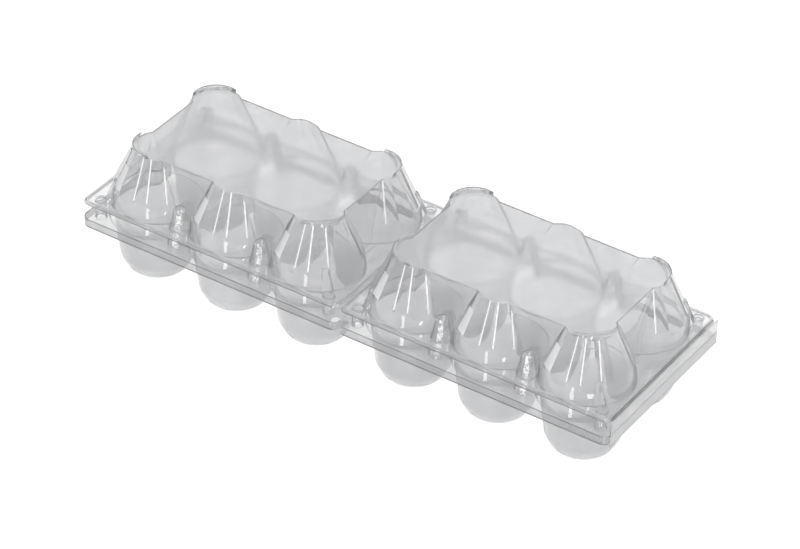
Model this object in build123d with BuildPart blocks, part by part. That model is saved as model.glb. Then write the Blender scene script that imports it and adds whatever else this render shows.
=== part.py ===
"""Clear moulded carton for twelve eggs, shown closed.

Two six-egg halves stand end to end along X and share a score where they tear apart.
The tray carries twelve cups, the lid twelve domes, and a panel at the right end joins them by two folds.
The origin is on the ground under the middle of the carton, +Z is up and -Y is the front.
"""

import os

from build123d import *

# Sheet and fits
SHEET = 0.5
FOLD_GAP = 0.3
LID_GAP = 0.3
OVERRUN = 2.0

# Cells, three by two in each half
CELL_PITCH = 47.0
ROW_PITCH = 48.6
CELL_COLUMNS = 3
CELL_ROWS = 2

# Domes of the lid
DOME_RISE = 30.2
DOME_FOOT_RADIUS = 23.4
DOME_SHOULDER_RADIUS = 22.6
DOME_SHOULDER_RISE = 6.0
DOME_WAIST_RADIUS = 21.4
DOME_WAIST_RISE = 10.5
DOME_TOP_RADIUS = 12.5
FLAT_COUNT = 8
FLAT_TURN = 12.0
FLAT_SHARE = 0.973

# Flange round the cells
END_MARGIN = 4.6
SIDE_MARGIN = 2.3
CORNER_RADIUS = 5.0
NECK_LENGTH = 6.0

# Score across the neck between the halves
SCORE_WIDTH = 0.6
SCORE_DEPTH = 0.2

# Cups of the tray
CUP_FLOOR_RADIUS = 9.0
CUP_KNEE_RADIUS = 14.8
CUP_KNEE_HEIGHT = 2.4
CUP_BELLY_RADIUS = 18.3
CUP_BELLY_HEIGHT = 8.6

# Flange, lip and raised deck of the tray
FLANGE_TOP = 32.0
LIP_DROP = 4.6
DECK_RISE = 8.2
DECK_LAND = 0.8
DECK_WALL_MARGIN = 0.3
DECK_FOOT_MARGIN = 0.7
DECK_END_REACH = 14.0
DECK_SIDE_REACH = 12.7

# Snap posts and corner pegs of the tray, placed from the axes of the nearest cups
SNAP_REACH = 15.4
SNAP_FOOT_RADIUS = 5.4
SNAP_TOP_RADIUS = 4.8
PEG_END_REACH = 19.8
PEG_SIDE_REACH = 19.6
PEG_FOOT_RADIUS = 3.0
PEG_TOP_RADIUS = 2.4

# Plateau between the domes, by how far it reaches past the axes of the outer domes
PLATEAU_FOOT_END_REACH = 12.0
PLATEAU_FOOT_SIDE_REACH = 12.5
PLATEAU_TOP_END_REACH = 9.4
PLATEAU_TOP_SIDE_REACH = 9.1

# Raised crescents on the corner domes
CRESCENT_RISE = 1.6
CRESCENT_WIDTH = 3.1
CRESCENT_CUT_RADIUS = 20.0

# Sockets, flutes, buttons and bead of the lid
SOCKET_REACH = 14.3
SOCKET_FOOT_RADIUS = 5.3
SOCKET_TOP_RADIUS = 2.9
SOCKET_RISE = 11.5
FLUTE_FOOT_SINK = 0.2
FLUTE_FOOT_RADIUS = 3.4
FLUTE_TOP_REACH = 19.4
FLUTE_TOP_RADIUS = 2.2
FLUTE_RISE = 12.0
BUTTON_RADIUS = 3.1
BUTTON_RISE = 1.4
BEAD_INSET = 0.7
BEAD_WIDTH = 1.8
BEAD_RISE = 0.9

# Hinge panel
PANEL_SETBACK = 1.0
CREASE_WIDTH = 0.8
CREASE_DEPTH = 0.2

# Sizes that follow from those above
QUARTER_TURN = 90
CORNER_X = CELL_PITCH * (CELL_COLUMNS - 1) / 2
CORNER_Y = ROW_PITCH * (CELL_ROWS - 1) / 2
HALF_LENGTH = 2 * (CORNER_X + DOME_FOOT_RADIUS + END_MARGIN)
WIDTH = 2 * (CORNER_Y + DOME_FOOT_RADIUS + SIDE_MARGIN)
RIGHT_EDGE = HALF_LENGTH - SHEET - FOLD_GAP
HALF_SPANS = ((-HALF_LENGTH, 0), (0, RIGHT_EDGE))
HALF_CENTRES = ((-HALF_LENGTH / 2, 0), (HALF_LENGTH / 2, 0))
LIP_FOOT = FLANGE_TOP - LIP_DROP
DECK_TOP = FLANGE_TOP + DECK_RISE
DECK_WALL_RADIUS = DOME_FOOT_RADIUS + DECK_WALL_MARGIN
DECK_FOOT_RADIUS = DOME_FOOT_RADIUS + DECK_FOOT_MARGIN
DECK_CORE = (2 * (CORNER_X + DECK_END_REACH), 2 * (CORNER_Y + DECK_SIDE_REACH))
CUP_MOUTH_RADIUS = DECK_WALL_RADIUS - DECK_LAND
SNAP_X = CELL_PITCH / 2
SNAP_Y = CORNER_Y + SNAP_REACH
PEG_X = CORNER_X + PEG_END_REACH
PEG_Y = CORNER_Y + PEG_SIDE_REACH
LID_FOOT = DECK_TOP + LID_GAP
LID_FLANGE_TOP = LID_FOOT + SHEET
LID_TOP = LID_FOOT + DOME_RISE
SOCKET_Y = CORNER_Y + SOCKET_REACH
PLATEAU_FOOT = (2 * (CORNER_X + PLATEAU_FOOT_END_REACH), 2 * (CORNER_Y + PLATEAU_FOOT_SIDE_REACH))
PLATEAU_TOP = (2 * (CORNER_X + PLATEAU_TOP_END_REACH), 2 * (CORNER_Y + PLATEAU_TOP_SIDE_REACH))
CRESCENT_CUT_SHIFT = CRESCENT_CUT_RADIUS + CRESCENT_WIDTH - DOME_TOP_RADIUS
FLUTE_FOOT_REACH = DOME_FOOT_RADIUS - FLUTE_FOOT_SINK


def drawn_in(size, inset):
    """Length and width of a rectangle drawn in all round by the inset."""
    return tuple(side - 2 * inset for side in size)


def plan(inset):
    """Outline of both halves from above, drawn in all round by the inset."""
    with BuildSketch() as outline:
        for low, high in HALF_SPANS:
            with Locations(((low + high) / 2, 0)):
                RectangleRounded(high - low - 2 * inset, WIDTH - 2 * inset, CORNER_RADIUS - inset)
        Rectangle(NECK_LENGTH, WIDTH - 2 * CORNER_RADIUS - 2 * inset)
    return outline.sketch


def slab(outline, low, high):
    """Upright solid over an outline between two heights."""
    with BuildPart() as body:
        with BuildSketch(Plane.XY.offset(low)):
            add(outline)
        extrude(amount=high - low)
    return body.part


def turned(points):
    """Solid turned about Z under a profile of radius and height pairs."""
    with BuildPart() as body:
        with BuildSketch(Plane.XZ):
            with BuildLine():
                Polyline(*points, close=True)
            make_face()
        revolve(axis=Axis.Z)
    return body.part


def leaning_post(foot, top):
    """Round post between two circles, each given as x, y, height and radius."""
    with BuildPart() as body:
        for x, y, height, radius in (foot, top):
            with BuildSketch(Plane.XY.offset(height)):
                with Locations((x, y)):
                    Circle(radius)
        loft()
    return body.part


def frustum(foot, top, foot_height, top_height):
    """Tapered block between two rectangles, each given as a length and a width."""
    with BuildPart() as body:
        for size, height in ((foot, foot_height), (top, top_height)):
            with BuildSketch(Plane.XY.offset(height)):
                Rectangle(*size)
        loft()
    return body.part


def cup(inset, mouth):
    """Form of one egg cup from its floor up to the height of its mouth."""
    slope = (CUP_MOUTH_RADIUS - CUP_BELLY_RADIUS) / (DECK_TOP - CUP_BELLY_HEIGHT)
    mouth_radius = CUP_BELLY_RADIUS + slope * (mouth - CUP_BELLY_HEIGHT)
    return turned(
        (
            (0, inset),
            (CUP_FLOOR_RADIUS - inset / 2, inset),
            (CUP_KNEE_RADIUS - inset, CUP_KNEE_HEIGHT + inset / 2),
            (CUP_BELLY_RADIUS - inset, CUP_BELLY_HEIGHT),
            (mouth_radius - inset, mouth),
            (0, mouth),
        )
    )


def deck(inset, foot):
    """Raised deck with its scalloped wall, snap posts and corner pegs, for one half."""
    top = DECK_TOP - inset
    wall = turned(
        (
            (0, foot),
            (DECK_FOOT_RADIUS - inset, foot),
            (DECK_WALL_RADIUS - inset, top),
            (0, top),
        )
    )
    with BuildPart() as body:
        with GridLocations(CELL_PITCH, ROW_PITCH, CELL_COLUMNS, CELL_ROWS):
            add(wall)
        core = drawn_in(DECK_CORE, inset)
        add(frustum(core, core, foot, top))
        for side in (-1, 1):
            for snap in (-SNAP_X, SNAP_X):
                y = side * SNAP_Y
                add(
                    leaning_post(
                        (snap, y, foot, SNAP_FOOT_RADIUS - inset),
                        (snap, y, top, SNAP_TOP_RADIUS - inset),
                    )
                )
            for peg in (-PEG_X, PEG_X):
                y = side * PEG_Y
                add(
                    leaning_post(
                        (peg, y, foot, PEG_FOOT_RADIUS - inset),
                        (peg, y, top, PEG_TOP_RADIUS - inset),
                    )
                )
    return body.part


def dome(inset, foot):
    """Form of one egg dome: a cone with flats over a fuller barrel."""
    top = LID_TOP - inset
    slope = (DOME_WAIST_RADIUS - DOME_TOP_RADIUS) / (DOME_RISE - DOME_WAIST_RISE)
    with BuildPart() as body:
        add(
            turned(
                (
                    (0, foot),
                    (DOME_FOOT_RADIUS - inset, foot),
                    (DOME_SHOULDER_RADIUS - inset, LID_FOOT + DOME_SHOULDER_RISE),
                    (DOME_WAIST_RADIUS - inset, LID_FOOT + DOME_WAIST_RISE),
                    (DOME_TOP_RADIUS - inset, top),
                    (0, top),
                )
            )
        )
        top_apothem = FLAT_SHARE * DOME_TOP_RADIUS - inset
        foot_apothem = FLAT_SHARE * (DOME_TOP_RADIUS + slope * (LID_TOP - foot)) - inset
        for apothem, height in ((foot_apothem, foot), (top_apothem, top)):
            with BuildSketch(Plane.XY.offset(height)):
                RegularPolygon(apothem, FLAT_COUNT, major_radius=False, rotation=FLAT_TURN)
        loft(mode=Mode.INTERSECT)
    return body.part


def crescent(inset):
    """Raised crescent that faces +X, on a dome at the origin."""
    foot = LID_TOP - SHEET - inset
    top = LID_TOP + CRESCENT_RISE - inset
    with BuildPart() as body:
        with BuildSketch(Plane.XY.offset(foot)):
            Circle(DOME_TOP_RADIUS - inset)
            with Locations((-CRESCENT_CUT_SHIFT, 0)):
                Circle(CRESCENT_CUT_RADIUS + inset, mode=Mode.SUBTRACT)
        extrude(amount=top - foot)
    return body.part


def lid_form(inset, foot):
    """Domes, plateau, crescents, sockets, flutes and buttons of the lid, for one half."""
    with BuildPart() as body:
        plateau_foot = drawn_in(PLATEAU_FOOT, inset)
        plateau_top = drawn_in(PLATEAU_TOP, inset)
        add(frustum(plateau_foot, plateau_top, foot, LID_TOP - inset))
        with GridLocations(CELL_PITCH, ROW_PITCH, CELL_COLUMNS, CELL_ROWS):
            add(dome(inset, foot))
        for x_side in (-1, 1):
            for y_side in (-1, 1):
                heading = y_side * (QUARTER_TURN - x_side * QUARTER_TURN / 2)
                corner = (x_side * CORNER_X, y_side * CORNER_Y)
                with Locations(Location((*corner, 0), (0, 0, heading))):
                    add(crescent(inset))
                    add(
                        leaning_post(
                            (FLUTE_FOOT_REACH, 0, foot, FLUTE_FOOT_RADIUS - inset),
                            (FLUTE_TOP_REACH, 0, LID_FOOT + FLUTE_RISE - inset, FLUTE_TOP_RADIUS - inset),
                        )
                    )
                socket = (x_side * SNAP_X, y_side * SOCKET_Y)
                add(
                    leaning_post(
                        (*socket, foot, SOCKET_FOOT_RADIUS - inset),
                        (*socket, LID_FOOT + SOCKET_RISE - inset, SOCKET_TOP_RADIUS - inset),
                    )
                )
                with Locations((x_side * PEG_X, y_side * PEG_Y, foot)):
                    Cylinder(
                        BUTTON_RADIUS - inset,
                        LID_FLANGE_TOP + BUTTON_RISE - inset - foot,
                        align=(Align.CENTER, Align.CENTER, Align.MIN),
                    )
    return body.part


def bead(inset):
    """Loop along the edge of the lid's flange, one round each half."""
    with BuildSketch() as loop:
        for low, high in HALF_SPANS:
            outer = BEAD_INSET + inset
            inner = BEAD_INSET + BEAD_WIDTH - inset
            with Locations(((low + high) / 2, 0)):
                RectangleRounded(high - low - 2 * outer, WIDTH - 2 * outer, CORNER_RADIUS - outer)
                RectangleRounded(
                    high - low - 2 * inner,
                    WIDTH - 2 * inner,
                    CORNER_RADIUS - inner,
                    mode=Mode.SUBTRACT,
                )
    return loop.sketch


def score(top):
    """Groove along the tear line, cut down from a face at the given height."""
    with BuildPart() as body:
        with Locations((0, 0, top - SCORE_DEPTH)):
            Box(
                SCORE_WIDTH,
                WIDTH,
                SCORE_DEPTH + OVERRUN,
                align=(Align.CENTER, Align.CENTER, Align.MIN),
            )
    return body.part


os.makedirs("parts", exist_ok=True)

# Tray: flange with a turned-down lip, raised deck, then the twelve cups
with BuildPart() as base_tray:
    add(slab(plan(0), LIP_FOOT, FLANGE_TOP))
    add(slab(plan(SHEET), LIP_FOOT - OVERRUN, FLANGE_TOP - SHEET), mode=Mode.SUBTRACT)
    with Locations(*HALF_CENTRES):
        add(deck(0, FLANGE_TOP - SHEET))
        add(deck(SHEET, FLANGE_TOP - SHEET - OVERRUN), mode=Mode.SUBTRACT)
        with GridLocations(CELL_PITCH, ROW_PITCH, CELL_COLUMNS, CELL_ROWS):
            add(cup(0, DECK_TOP))
            add(cup(SHEET, DECK_TOP + OVERRUN), mode=Mode.SUBTRACT)
    add(score(FLANGE_TOP), mode=Mode.SUBTRACT)

# Lid: flange with a hollow bead, then the domes and the plateau as one thin wall
with BuildPart() as lid:
    add(slab(plan(0), LID_FOOT, LID_FLANGE_TOP))
    add(slab(bead(0), LID_FOOT, LID_FLANGE_TOP + BEAD_RISE))
    add(slab(bead(SHEET), LID_FOOT - OVERRUN, LID_FOOT + BEAD_RISE), mode=Mode.SUBTRACT)
    with Locations(*HALF_CENTRES):
        add(lid_form(0, LID_FOOT))
        add(lid_form(SHEET, LID_FOOT - OVERRUN), mode=Mode.SUBTRACT)
    add(score(LID_FLANGE_TOP), mode=Mode.SUBTRACT)

# Hinge panel: flat wall at the right end with a crease at mid height
with BuildPart() as hinge_panel:
    with Locations((HALF_LENGTH - SHEET / 2, 0, LIP_FOOT)):
        Box(
            SHEET,
            WIDTH - 2 * PANEL_SETBACK,
            LID_FLANGE_TOP - LIP_FOOT,
            align=(Align.CENTER, Align.CENTER, Align.MIN),
        )
    with Locations((HALF_LENGTH - CREASE_DEPTH, 0, (LIP_FOOT + LID_FLANGE_TOP - CREASE_WIDTH) / 2)):
        Box(
            CREASE_DEPTH + OVERRUN,
            WIDTH + OVERRUN,
            CREASE_WIDTH,
            align=(Align.MIN, Align.CENTER, Align.MIN),
            mode=Mode.SUBTRACT,
        )

for label, piece in (("base_tray", base_tray), ("lid", lid), ("hinge_panel", hinge_panel)):
    piece.part.label = label
    export_step(piece.part, f"parts/{label}.step")
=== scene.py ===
"""Clear moulded egg carton, closed, on a white table: looks, lamps and camera."""

import math

import bmesh
import bpy
from mathutils import Matrix, Vector


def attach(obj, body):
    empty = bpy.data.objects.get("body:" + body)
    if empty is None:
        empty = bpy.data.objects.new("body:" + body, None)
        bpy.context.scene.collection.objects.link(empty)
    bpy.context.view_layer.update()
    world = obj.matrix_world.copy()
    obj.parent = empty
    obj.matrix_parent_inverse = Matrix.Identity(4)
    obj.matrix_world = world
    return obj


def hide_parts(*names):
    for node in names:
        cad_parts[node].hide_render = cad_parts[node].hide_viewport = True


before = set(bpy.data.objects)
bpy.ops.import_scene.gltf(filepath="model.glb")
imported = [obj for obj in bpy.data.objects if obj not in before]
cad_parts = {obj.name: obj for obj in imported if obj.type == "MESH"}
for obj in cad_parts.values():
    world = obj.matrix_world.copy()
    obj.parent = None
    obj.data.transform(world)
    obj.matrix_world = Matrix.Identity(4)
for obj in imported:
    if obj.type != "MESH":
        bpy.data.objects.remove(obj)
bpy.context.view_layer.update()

# Viewing angle of the photograph in degrees and metres, and the lens in millimetres
CAMERA_AZIMUTH = 31.8574
CAMERA_ELEVATION = 35.8717
CAMERA_ROLL = 2.4646
CAMERA_DISTANCE = 1.88618
CAMERA_TARGET = Vector((0.008876, -0.008994, 0.040866))
LENS = 178.615
SENSOR_WIDTH = 36.0
CLIP_END = 20.0

# Cells of the carton, in metres
CELL_PITCH = 0.047
ROW_PITCH = 0.0486
HALF_CENTRE = 0.075
CELL_AXES = [
    Vector((side * HALF_CENTRE + column * CELL_PITCH, row * ROW_PITCH / 2))
    for side in (-1, 1)
    for column in (-1, 0, 1)
    for row in (-1, 1)
]

# Heights in the flanges, the lip and the hinge panel, in metres
LIP_FOOT = 0.0274
LIP_BEND = 0.032
LID_FLANGE = 0.0403
PANEL_TOP = 0.041
LEVEL_SLACK = 0.0002

# Height of the band of painted shade by the free edge of the skirt, in metres
FREE_EDGE = 0.0005

# Half lengths and half widths beyond which a place is at the rim or in the skirt, in metres
RIM = (0.1482, 0.0495)
SKIRT = (0.1488, 0.0492)
SKIRT_SLACK = 0.0001

# Notches beside the tear line: half length, and distance from the middle where they start, in metres
NOTCH = (0.0031, 0.04)

# Plan of the sockets and snap posts between the cells, in metres
SOCKET_COLUMNS = (0.0515, 0.0985)
SOCKET_ROW = 0.0386
POST_ROW = 0.0397
POST_REACH = 0.0057

# Round top of a socket: reach from its axis and span of heights, in metres
SOCKET_TOP_REACH = 0.0031
SOCKET_TOP_SPAN = (0.0514, 0.0521)

# Heights between which the level faces are whole discs without holes, in metres
DISC_SPAN = (0.0505, 0.053)

# Ribs of the domes: span of heights, radii and least length in metres, and least share of upright
RIB_SPAN = (0.0505, 0.0712)
RIB_REACH = (0.011, 0.0222)
RIB_LENGTH = 0.008
RIB_UPRIGHT_SHARE = 0.8

# Angles between the faces at a rib, in degrees
RIB_ANGLES = (10, 40)

# Headings of the ribs and strips that get painted highlights, and of the wrinkles that get painted
# glints, in degrees
RIB_HIGHLIGHT_HEADINGS = (-95, -36)
STRIP_HEADINGS = (-132, -114)
WRINKLE_GLINT_HEADINGS = (-84, -56)

# Slopes of the domes' cones, by the height of a unit normal, and top of the painted highlights on the
# wedges in metres
CONE_SLOPES = (0.3, 0.5)
WEDGE_HIGHLIGHT_TOP = 0.063

# Height above which a level face belongs to a plateau, and height of the flutes' tops, in metres
PLATEAU = 0.0695
FLUTE_TOP = 0.0525
FLUTE_SLACK = 0.0008

# Corners of a cup's section, in metres: reach of the rounding and the height band that holds both walls
CUP_CORNERS = ((0.0011, 0.0, 0.0006), (0.0016, 0.0023, 0.0028), (0.0016, 0.0085, 0.0087))
CUP_BAND_SLACK = 1e-5

# Reach of the rounding on sockets, ribs and other edges, in metres
SOCKET_ROUND = 0.0009
RIB_ROUND = 0.0003
EDGE_ROUND = 0.0002

# Least angles between faces, in degrees: at a crease, cup corner, panel edge and break in shading
CREASE_ANGLE = 26
CUP_ANGLE = 12
PANEL_ANGLE = 60
SHADING_ANGLE = 24

# Angle in degrees up to which neighbouring triangles are joined into one face
FLAT_ANGLE = 0.6

# Heights of a unit normal above which a face is level: pierced, on a plateau, and on a socket or post
PIERCED_LEVEL = 0.999
PLATEAU_LEVEL = 0.98
WRINKLE_GLINT_LEVEL = 0.5

# Distances within which points of the meshes are one, or level with each other, in metres
MERGE = 2e-6
CUT_MERGE = 1e-6
LEVEL_EDGE = 1e-5

# Slots of each piece's materials; the rib, wrinkle and wedge slots hold painted highlights and glints,
# the edge slot painted shade
SHEET, RIB_HIGHLIGHT, CREASE, EDGE_SHADE, WALL, LABEL_FACE, FOOT, WRINKLE_GLINTS, WEDGE_HIGHLIGHT = range(9)

# Milkiness of the sheet by height, in shares of a span in metres: most in the cups, least on the deck
HAZE_SPAN = 0.08
HAZE_LEVELS = (
    (0.0, 1.0),
    (0.2, 0.95),
    (0.41, 0.85),
    (0.45, 0.35),
    (0.505, 0.35),
    (0.51, 0.75),
    (0.85, 0.75),
)

# Noise of the sheet: scales, upright stretch of the drawn streaks and share of clouds in them; the last
# scale is of painted glints on wrinkles
STREAK_SCALE = 90.0
STREAK_STRETCH = 0.12
CLOUD_SCALE = 34.0
CLOUD_SHARE = 0.35
WRINKLE_GLINT_SCALE = 800.0

# Spans of noise that show, and what they and the milkiness make of roughness and tint
STREAK_SPAN = (0.35, 0.65)
WRINKLE_GLINT_SPAN = (0.48, 0.56)
POLISH_SPAN = (0.02, 0.05)
TINT_SPAN = (1.0, 0.92)

# Refractive index of the sheet, roughness of its milk and share of a lamp's light that it lets through
SHEET_IOR = 1.55
MILK_ROUGHNESS = 0.25
LAMP_SHARE = 0.88

# Colours of the sheet's milk; the two whites are painted highlights and glints, the edge grey is painted
# shade
GREY_MILK = (0.47, 0.48, 0.495)
LABEL_MILK = (0.48, 0.487, 0.5)
PANEL_MILK = (0.66, 0.665, 0.675)
HIGHLIGHT_MILK = (0.95, 0.95, 0.96)
WEDGE_HIGHLIGHT_MILK = (0.95, 0.955, 0.965)
EDGE_SHADE_GREY = (0.11, 0.11, 0.115)

# White room: light on the object, and the brightness that gloss and the camera see by height
ROOM_LIGHT = 0.5
ROOM_LEVELS = ((0.0, 1.15), (0.05, 0.55), (0.3, 0.6), (0.5, 1.0))

# Table: half length and drop below the carton in metres, grey, gloss and glow
TABLE_SIZE = 3.0
TABLE_DROP = 0.0002
TABLE_GREY = 0.35
TABLE_ROUGHNESS = 0.12
TABLE_GLOW = 0.78

# Place that the lamps look at, in metres
LAMP_TARGET = Vector((0.0, 0.0, 0.04))

# One soft lamp that lights: place and size in metres, and power in watts
SOFT_LAMP = ("overhead", (0.15, 0.25, 1.6), (1.2, 0.9), 16.0)

# Lamps that only show in the gloss, two of them as if lit through the table
GLOSS_LAMPS = (
    ("spark", (0.15, 0.25, 1.6), (0.12, 0.12), 2.0),
    ("front_streak", (0.115, -1.2, -0.385), (0.15, 0.7), 2.4),
    ("right_streak", (0.437, -0.464, -0.186), (0.06, 0.37), 0.7),
)

# Bounces of light through the many walls
BOUNCES = 28
CLEAR_BOUNCES = 40


def blend_shaders(tree, factor, first, second):
    """Output of a Mix Shader between two shaders by a factor socket."""
    mix = tree.nodes.new("ShaderNodeMixShader")
    tree.links.new(factor, mix.inputs[0])
    tree.links.new(first, mix.inputs[1])
    tree.links.new(second, mix.inputs[2])
    return mix.outputs[0]


def add_values(tree, first, second):
    """Sum of two value sockets, kept between nought and one."""
    total = tree.nodes.new("ShaderNodeMath")
    total.operation = "ADD"
    total.use_clamp = True
    tree.links.new(first, total.inputs[0])
    tree.links.new(second, total.inputs[1])
    return total.outputs[0]


def multiply_values(tree, first, second):
    """Product of two value sockets."""
    product = tree.nodes.new("ShaderNodeMath")
    product.operation = "MULTIPLY"
    tree.links.new(first, product.inputs[0])
    tree.links.new(second, product.inputs[1])
    return product.outputs[0]


def direct_rays(tree):
    """One for rays that show the white room: from the camera, off gloss and through the sheet."""
    path = tree.nodes.new("ShaderNodeLightPath")
    clear = add_values(tree, path.outputs["Is Glossy Ray"], path.outputs["Is Transmission Ray"])
    return add_values(tree, path.outputs["Is Camera Ray"], clear)


def map_range(tree, value, given, sought):
    """Output of a Map Range between two spans, each given as numbers or sockets."""
    span = tree.nodes.new("ShaderNodeMapRange")
    tree.links.new(value, span.inputs["Value"])
    names = ("From Min", "From Max", "To Min", "To Max")
    for name, end in zip(names, (*given, *sought)):
        if isinstance(end, float):
            span.inputs[name].default_value = end
        else:
            tree.links.new(end, span.inputs[name])
    return span.outputs["Result"]


def grey_ramp(tree, value, levels):
    """Ramp of greys over a value socket, given as pairs of place and level."""
    ramp = tree.nodes.new("ShaderNodeValToRGB")
    marks = ramp.color_ramp.elements
    marks[0].position, marks[1].position = levels[0][0], levels[-1][0]
    for place, _ in levels[1:-1]:
        marks.new(place)
    for mark, (_, level) in zip(marks, levels):
        mark.color = (level, level, level, 1.0)
    tree.links.new(value, ramp.inputs["Fac"])
    return ramp.outputs["Color"]


def noise(tree, place, scale, detail=2.0):
    """Values of a noise over a place socket."""
    texture = tree.nodes.new("ShaderNodeTexNoise")
    texture.inputs["Scale"].default_value = scale
    texture.inputs["Detail"].default_value = detail
    tree.links.new(place, texture.inputs["Vector"])
    return texture.outputs["Fac"]


def height_of(tree, place):
    """Height of a place socket."""
    parts = tree.nodes.new("ShaderNodeSeparateXYZ")
    tree.links.new(place, parts.inputs[0])
    return parts.outputs["Z"]


def sheet_haze():
    """Node group of the moulded sheet: milkiness by height with drawn streaks and clouds, and noise for
    painted glints on wrinkles.
    """
    group = bpy.data.node_groups.new("sheet_haze", "ShaderNodeTree")
    for name in ("Thin", "Thick", "Blur"):
        group.interface.new_socket(name=name, in_out="INPUT", socket_type="NodeSocketFloat")
    for name in ("Haze", "Wrinkle Glint Haze", "Tint", "Roughness", "Height"):
        group.interface.new_socket(name=name, in_out="OUTPUT", socket_type="NodeSocketFloat")
    nodes, links = group.nodes, group.links
    given = nodes.new("NodeGroupInput")
    out = nodes.new("NodeGroupOutput")
    place = nodes.new("ShaderNodeTexCoord").outputs["Object"]
    drawn = nodes.new("ShaderNodeMapping")
    drawn.inputs["Scale"].default_value = (1.0, 1.0, STREAK_STRETCH)
    links.new(place, drawn.inputs["Vector"])
    streaks = noise(group, drawn.outputs["Vector"], STREAK_SCALE, detail=2.5)
    cloudy = nodes.new("ShaderNodeMix")
    cloudy.data_type = "FLOAT"
    cloudy.inputs["Factor"].default_value = CLOUD_SHARE
    links.new(streaks, cloudy.inputs["A"])
    links.new(noise(group, place, CLOUD_SCALE, detail=3.0), cloudy.inputs["B"])
    mixed = cloudy.outputs["Result"]
    rise = map_range(group, height_of(group, place), (0.0, HAZE_SPAN), (0.0, 1.0))
    by_height = grey_ramp(group, rise, HAZE_LEVELS)
    ends = (given.outputs["Thin"], given.outputs["Thick"])
    uneven = map_range(group, mixed, STREAK_SPAN, ends)
    links.new(multiply_values(group, uneven, by_height), out.inputs["Haze"])
    wrinkles = noise(group, place, WRINKLE_GLINT_SCALE)
    links.new(map_range(group, wrinkles, WRINKLE_GLINT_SPAN, ends), out.inputs["Wrinkle Glint Haze"])
    links.new(map_range(group, by_height, (0.0, 1.0), TINT_SPAN), out.inputs["Tint"])
    polish = map_range(group, mixed, STREAK_SPAN, POLISH_SPAN)
    links.new(add_values(group, polish, given.outputs["Blur"]), out.inputs["Roughness"])
    links.new(streaks, out.inputs["Height"])
    return group


HAZE = sheet_haze()


def clear_sheet(name, milk_colour, thin, thick, ripple=0.0, blur=0.0, glow=0.0, cast="Haze"):
    """Clear glossy sheet with a milky cast, which lets lamps through to what is behind it."""
    material = bpy.data.materials.new(name)
    material.use_nodes = True
    tree = material.node_tree
    nodes, links = tree.nodes, tree.links
    haze = nodes.new("ShaderNodeGroup")
    haze.node_tree = HAZE
    for socket, value in (("Thin", thin), ("Thick", thick), ("Blur", blur)):
        haze.inputs[socket].default_value = value
    bump = nodes.new("ShaderNodeBump")
    bump.inputs["Distance"].default_value = ripple
    links.new(haze.outputs["Height"], bump.inputs["Height"])
    clear = nodes["Principled BSDF"]
    links.new(haze.outputs["Tint"], clear.inputs["Base Color"])
    clear.inputs["IOR"].default_value = SHEET_IOR
    clear.inputs["Transmission Weight"].default_value = 1.0
    links.new(haze.outputs["Roughness"], clear.inputs["Roughness"])
    links.new(bump.outputs["Normal"], clear.inputs["Normal"])
    milk = nodes.new("ShaderNodeBsdfPrincipled")
    milk.inputs["Base Color"].default_value = (*milk_colour, 1.0)
    milk.inputs["IOR"].default_value = SHEET_IOR
    milk.inputs["Roughness"].default_value = MILK_ROUGHNESS
    milk.inputs["Emission Color"].default_value = (1.0, 1.0, 1.0, 1.0)
    milk.inputs["Emission Strength"].default_value = glow
    links.new(bump.outputs["Normal"], milk.inputs["Normal"])
    both = blend_shaders(tree, haze.outputs[cast], clear.outputs[0], milk.outputs[0])
    path = nodes.new("ShaderNodeLightPath")
    window = nodes.new("ShaderNodeBsdfTransparent")
    window.inputs["Color"].default_value = (LAMP_SHARE, LAMP_SHARE, LAMP_SHARE, 1.0)
    shown = blend_shaders(tree, path.outputs["Is Shadow Ray"], both, window.outputs[0])
    links.new(shown, nodes["Material Output"].inputs["Surface"])
    return material


# Materials in the order of the slots, with the share of milk where the sheet is thinnest and thickest
MATERIALS = (
    clear_sheet("clear_sheet", GREY_MILK, thin=0.22, thick=0.32, ripple=0.00006),
    # Painted highlight: white milk with a glow on the ribs at the front of the domes
    clear_sheet("rib_painted_highlight", HIGHLIGHT_MILK, thin=1.5, thick=1.8, glow=0.3),
    clear_sheet("sheet_crease", GREY_MILK, thin=0.3, thick=0.45),
    # Painted shade: near-black milk on cut edges and bends
    clear_sheet("edge_painted_shade", EDGE_SHADE_GREY, thin=1.2, thick=1.4),
    clear_sheet("panel_sheet", PANEL_MILK, thin=0.9, thick=1.05),
    clear_sheet("label_face", LABEL_MILK, thin=0.26, thick=0.34, blur=0.07),
    clear_sheet("lip_foot", GREY_MILK, thin=0.4, thick=0.5),
    # Painted glints: white milk with a glow on the wrinkles at the front of posts and sockets
    clear_sheet("wrinkle_painted_glints", HIGHLIGHT_MILK, thin=0.1, thick=1.0, glow=0.3, cast="Wrinkle Glint Haze"),
    # Painted highlight: white milk with a faint glow on the lower strips at the domes' front left
    clear_sheet("wedge_painted_highlight", WEDGE_HIGHLIGHT_MILK, thin=0.6, thick=0.9, glow=0.1),
)


def within(value, span):
    """Whether a value lies between the two ends of a span."""
    return span[0] < value < span[1]


def beyond(place, limits):
    """Whether a place lies past a half length or a half width."""
    return abs(place.x) > limits[0] or abs(place.y) > limits[1]


def heading(x, y):
    """Heading of a direction seen from above, in degrees."""
    return math.degrees(math.atan2(y, x))


def middle(edge):
    """Place half way along an edge."""
    return (edge.verts[0].co + edge.verts[1].co) / 2


def sharper(edge, angle):
    """Whether the faces at an edge meet at more than an angle in degrees."""
    return edge.calc_face_angle(0) > math.radians(angle)


def nearest_axis(point):
    """Offset of a point, seen from above, from the axis of the nearest cell."""
    flat = Vector((point.x, point.y))
    return min((flat - axis for axis in CELL_AXES), key=lambda offset: offset.length)


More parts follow.
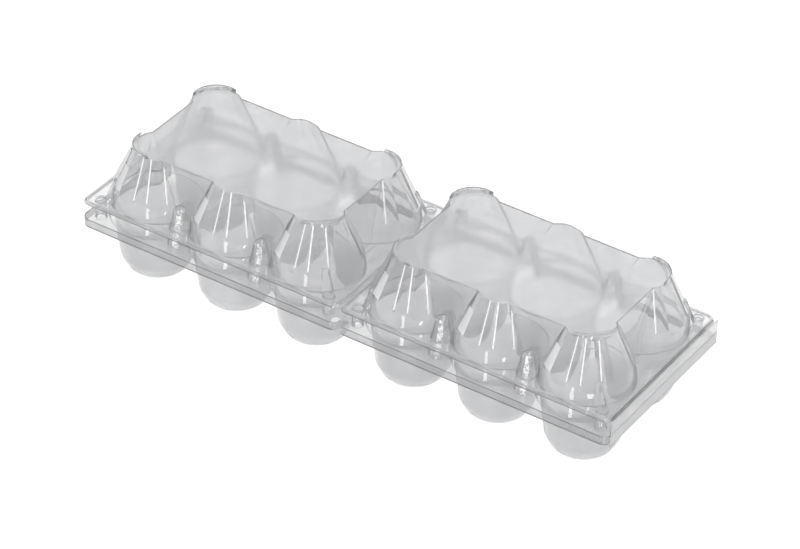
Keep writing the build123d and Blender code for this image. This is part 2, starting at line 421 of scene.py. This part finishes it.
def from_socket(point, column_point, row):
    """Distance of a point, seen from above, from the axis of the socket or post nearest to another."""
    column = min(SOCKET_COLUMNS, key=lambda x: abs(abs(column_point.x) - x))
    return math.hypot(abs(point.x) - column, abs(point.y) - row)


def is_pierced(face):
    """Level face of a flange, deck or plateau, which goes round holes."""
    return abs(face.normal.z) > PIERCED_LEVEL and not within(face.verts[0].co.z, DISC_SPAN)


def sheet_copy(node):
    """Mesh of a CAD node with its triangles joined into whole faces, save on pierced ones."""
    shape = bmesh.new()
    shape.from_mesh(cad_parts[node].data)
    bmesh.ops.remove_doubles(shape, verts=shape.verts[:], dist=MERGE)
    bmesh.ops.dissolve_limit(
        shape,
        angle_limit=math.radians(FLAT_ANGLE),
        edges=[edge for edge in shape.edges if not all(map(is_pierced, edge.link_faces))],
    )
    return shape


def at_notch(place):
    """Whether a place lies in the rounded notches beside the tear line."""
    return abs(place.x) < NOTCH[0] and abs(place.y) > NOTCH[1]


def is_cut_edge(edge):
    """Free edge of the sheet or bend above the skirt, where a dark line of shade is painted."""
    place = middle(edge)
    if not sharper(edge, CREASE_ANGLE) or at_notch(place):
        return False
    at_foot = abs(place.z - LIP_FOOT) < LEVEL_SLACK
    at_bend = abs(place.z - LIP_BEND) < LEVEL_SLACK
    return at_foot or (beyond(place, RIM) and (place.z > LID_FLANGE or at_bend))


def is_crease(edge):
    """Sharp edge that can be rounded without running into its neighbours."""
    place = middle(edge)
    if not sharper(edge, CREASE_ANGLE) or at_notch(place):
        return False
    rounded = any(face.material_index in (RIB_HIGHLIGHT, CREASE, EDGE_SHADE) for face in edge.link_faces)
    return not rounded and abs(place.z - FLUTE_TOP) > FLUTE_SLACK


def is_rib(edge):
    """Outer crease between a flat and the strip of cone beside it."""
    heights = sorted(vert.co.z for vert in edge.verts)
    if heights[0] < RIB_SPAN[0] or heights[1] > RIB_SPAN[1]:
        return False
    length = edge.calc_length()
    if length < RIB_LENGTH or heights[1] - heights[0] < RIB_UPRIGHT_SHARE * length:
        return False
    offset = nearest_axis(middle(edge))
    out = sum((face.normal for face in edge.link_faces), Vector())
    outward = out.x * offset.x + out.y * offset.y > 0
    angles = [math.radians(angle) for angle in RIB_ANGLES]
    return outward and within(offset.length, RIB_REACH) and within(edge.calc_face_angle(0), angles)


def is_painted_highlight_rib(edge):
    """Rib's edge on the front of a dome, where a highlight is painted white."""
    offset = nearest_axis(middle(edge))
    return within(heading(offset.x, offset.y), RIB_HIGHLIGHT_HEADINGS) and is_rib(edge)


def is_socket_top(edge):
    """Edge round the top of a socket, outside or inside."""
    place = middle(edge)
    level = abs(edge.verts[0].co.z - edge.verts[1].co.z) < LEVEL_EDGE
    near = from_socket(place, place, SOCKET_ROW) < SOCKET_TOP_REACH
    return level and near and within(place.z, SOCKET_TOP_SPAN)


def is_panel_edge(edge):
    """Any outer edge of the hinge panel."""
    return sharper(edge, PANEL_ANGLE)


def is_skirt(face, top):
    """Face of the upright skirt along the outline, between the lip's foot and a height."""
    place = face.calc_center_median()
    return beyond(place, SKIRT) and LIP_FOOT - SKIRT_SLACK < place.z < top


def is_strip(face):
    """Outer face of the strip of cone between two flats, on the left of a dome's front."""
    place = face.calc_center_median()
    offset = nearest_axis(place)
    outward = face.normal.x * offset.x + face.normal.y * offset.y > 0
    slanted = within(face.normal.z, CONE_SLOPES)
    at_left = within(heading(face.normal.x, face.normal.y), STRIP_HEADINGS)
    return outward and slanted and at_left and within(place.z, RIB_SPAN) and face.material_index == SHEET


def round_edges(shape, chosen, offset, material=-1, segments=2, slide=False):
    """Rounds the chosen edges, and gives the new faces a material slot of their own."""
    bmesh.ops.bevel(
        shape,
        geom=[edge for edge in shape.edges if chosen(edge)],
        affect="EDGES",
        offset=offset,
        segments=segments,
        profile=0.5,
        material=material,
        clamp_overlap=False,
        loop_slide=slide,
    )


def cut_level(shape, faces, height):
    """Divides faces by a level plane."""
    edges = dict.fromkeys(edge for face in faces for edge in face.edges)
    verts = dict.fromkeys(vert for face in faces for vert in face.verts)
    bmesh.ops.bisect_plane(
        shape,
        geom=[*verts, *edges, *faces],
        dist=CUT_MERGE,
        plane_co=(0.0, 0.0, height),
        plane_no=(0.0, 0.0, 1.0),
    )


def mark_free_edge(shape, slot, top):
    """Gives the skirt a slot up to a height, and its lowest band the slot of painted dark shade."""
    band_top = LIP_FOOT + FREE_EDGE
    cut_level(shape, [face for face in shape.faces if is_skirt(face, top)], band_top)
    for face in shape.faces:
        if is_skirt(face, top) and face.material_index in (SHEET, WALL):
            at_edge = face.calc_center_median().z < band_top
            face.material_index = EDGE_SHADE if at_edge else slot


def mark_wedge_highlights(shape):
    """Gives the lower part of each strip on a dome's front left a painted highlight."""
    cut_level(shape, [face for face in shape.faces if is_strip(face)], WEDGE_HIGHLIGHT_TOP)
    for face in shape.faces:
        if is_strip(face) and face.calc_center_median().z < WEDGE_HIGHLIGHT_TOP:
            face.material_index = WEDGE_HIGHLIGHT


def mark_wrinkle_glints(shape, row):
    """Gives the front of each post or socket of a row painted glints on its wrinkles."""
    for face in shape.faces:
        normal, corner = face.normal, face.verts[0].co
        upright = abs(normal.z) <= WRINKLE_GLINT_LEVEL
        outward = normal.y * corner.y > 0
        at_front = within(heading(normal.x, -abs(normal.y)), WRINKLE_GLINT_HEADINGS)
        reach = max(from_socket(vert.co, corner, row) for vert in face.verts)
        if upright and outward and at_front and reach < POST_REACH:
            face.material_index = WRINKLE_GLINTS


def show_instead(name, shape, body, *nodes):
    """Puts a finished mesh in the place of CAD nodes, with the sheet's materials."""
    bmesh.ops.recalc_face_normals(shape, faces=shape.faces[:])
    mesh = bpy.data.meshes.new(name)
    shape.to_mesh(mesh)
    shape.free()
    for material in MATERIALS:
        mesh.materials.append(material)
    piece = bpy.data.objects.new(name, mesh)
    bpy.context.scene.collection.objects.link(piece)
    mesh.shade_smooth()
    mesh.set_sharp_from_angle(angle=math.radians(SHADING_ANGLE))
    level = piece.modifiers.new("level", "WEIGHTED_NORMAL")
    level.mode = "FACE_AREA"
    level.keep_sharp = True
    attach(piece, body)
    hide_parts(*nodes)
    return piece


def moulded_lid():
    """Lid with plateaus for labels, painted highlights on front ribs and strips, painted glints on
    wrinkled sockets, painted shade on cut edges, and rounded edges.
    """
    shape = sheet_copy("lid")
    for face in shape.faces:
        if abs(face.normal.z) > PLATEAU_LEVEL and face.calc_center_median().z > PLATEAU:
            face.material_index = LABEL_FACE
    mark_wrinkle_glints(shape, SOCKET_ROW)
    round_edges(shape, is_socket_top, SOCKET_ROUND, segments=3, slide=True)
    round_edges(shape, is_painted_highlight_rib, RIB_ROUND, RIB_HIGHLIGHT)
    round_edges(shape, is_rib, RIB_ROUND, CREASE)
    round_edges(shape, is_cut_edge, EDGE_ROUND, EDGE_SHADE)
    round_edges(shape, is_crease, EDGE_ROUND, CREASE)
    mark_wedge_highlights(shape)
    show_instead("moulded_lid", shape, "lid", "lid")


def moulded_tray():
    """Tray with rounded cups, painted glints on wrinkled snap posts and painted shade along its free
    edge.
    """
    shape = sheet_copy("base_tray")
    mark_wrinkle_glints(shape, POST_ROW)
    for reach, low, high in CUP_CORNERS:
        band = (low - CUP_BAND_SLACK, high + CUP_BAND_SLACK)
        round_edges(
            shape,
            lambda edge: sharper(edge, CUP_ANGLE) and all(within(v.co.z, band) for v in edge.verts),
            reach,
            segments=4,
        )
    round_edges(shape, is_cut_edge, EDGE_ROUND, EDGE_SHADE)
    round_edges(shape, is_crease, EDGE_ROUND, CREASE)
    mark_free_edge(shape, FOOT, LIP_BEND)
    show_instead("moulded_tray", shape, "tray", "base_tray")


def folding_panel():
    """Hinge panel with rounded edges and painted shade along its free edge."""
    shape = sheet_copy("hinge_panel")
    round_edges(shape, is_panel_edge, EDGE_ROUND, WALL)
    for face in shape.faces:
        face.material_index = WALL
    mark_free_edge(shape, WALL, PANEL_TOP)
    show_instead("folding_panel", shape, "panel", "hinge_panel")


def white_room():
    """World: white to the camera and through the sheet, a dimmer even light on the object."""
    world = bpy.data.worlds.new("white_room")
    bpy.context.scene.world = world
    world.use_nodes = True
    tree = world.node_tree
    nodes, links = tree.nodes, tree.links
    lit = nodes["Background"]
    lit.inputs["Color"].default_value = (1.0, 1.0, 1.0, 1.0)
    lit.inputs["Strength"].default_value = ROOM_LIGHT
    seen = nodes.new("ShaderNodeBackground")
    seen.inputs["Strength"].default_value = 1.0
    place = nodes.new("ShaderNodeTexCoord")
    rise = height_of(tree, place.outputs["Generated"])
    links.new(grey_ramp(tree, rise, ROOM_LEVELS), seen.inputs["Color"])
    shown = blend_shaders(tree, direct_rays(tree), lit.outputs[0], seen.outputs[0])
    links.new(shown, nodes["World Output"].inputs["Surface"])


def white_table():
    """Floor that looks white to the camera and through the sheet, and keeps the shadow."""
    mesh = bpy.data.meshes.new("table")
    shape = bmesh.new()
    bmesh.ops.create_grid(shape, x_segments=1, y_segments=1, size=TABLE_SIZE)
    shape.to_mesh(mesh)
    shape.free()
    table = bpy.data.objects.new("table", mesh)
    bpy.context.scene.collection.objects.link(table)
    table.location.z = -TABLE_DROP
    table.visible_glossy = False
    material = bpy.data.materials.new("table_white")
    material.use_nodes = True
    shader = material.node_tree.nodes["Principled BSDF"]
    shader.inputs["Base Color"].default_value = (TABLE_GREY, TABLE_GREY, TABLE_GREY, 1.0)
    shader.inputs["Roughness"].default_value = TABLE_ROUGHNESS
    shader.inputs["Emission Color"].default_value = (1.0, 1.0, 1.0, 1.0)
    shader.inputs["Emission Strength"].default_value = TABLE_GLOW
    mesh.materials.append(material)


def lamp_at(name, place, size, power):
    """Lamp with a flat face that looks at the carton."""
    lamp = bpy.data.lights.new(name, "AREA")
    lamp.shape = "RECTANGLE"
    lamp.size, lamp.size_y = size
    lamp.energy = power
    holder = bpy.data.objects.new(name, lamp)
    holder.location = place
    holder.rotation_mode = "QUATERNION"
    holder.rotation_quaternion = (Vector(place) - LAMP_TARGET).to_track_quat("Z", "Y")
    bpy.context.scene.collection.objects.link(holder)
    return holder


def place_camera():
    """Camera that looks at the carton as the photograph does."""
    data = bpy.data.cameras.new("camera")
    data.lens = LENS
    data.sensor_width = SENSOR_WIDTH
    data.clip_end = CLIP_END
    camera = bpy.data.objects.new("camera", data)
    turn, rise, roll = (math.radians(a) for a in (CAMERA_AZIMUTH, CAMERA_ELEVATION, CAMERA_ROLL))
    back = Vector(
        (math.sin(turn) * math.cos(rise), -math.cos(turn) * math.cos(rise), math.sin(rise))
    )
    level = Vector((math.cos(turn), math.sin(turn), 0.0))
    top = back.cross(level)
    right = math.cos(roll) * level + math.sin(roll) * top
    up = math.cos(roll) * top - math.sin(roll) * level
    camera.matrix_world = Matrix.Translation(CAMERA_TARGET + back * CAMERA_DISTANCE) @ (
        Matrix((right, up, back)).transposed().to_4x4()
    )
    bpy.context.scene.collection.objects.link(camera)
    bpy.context.scene.camera = camera


moulded_lid()
moulded_tray()
folding_panel()
white_room()
white_table()
lamp_at(*SOFT_LAMP).visible_glossy = False
for gloss_lamp in GLOSS_LAMPS:
    lamp_at(*gloss_lamp).visible_diffuse = False
place_camera()

bpy.context.scene.view_settings.view_transform = "Standard"
bpy.context.scene.cycles.max_bounces = BOUNCES
bpy.context.scene.cycles.transmission_bounces = BOUNCES
bpy.context.scene.cycles.transparent_max_bounces = CLEAR_BOUNCES
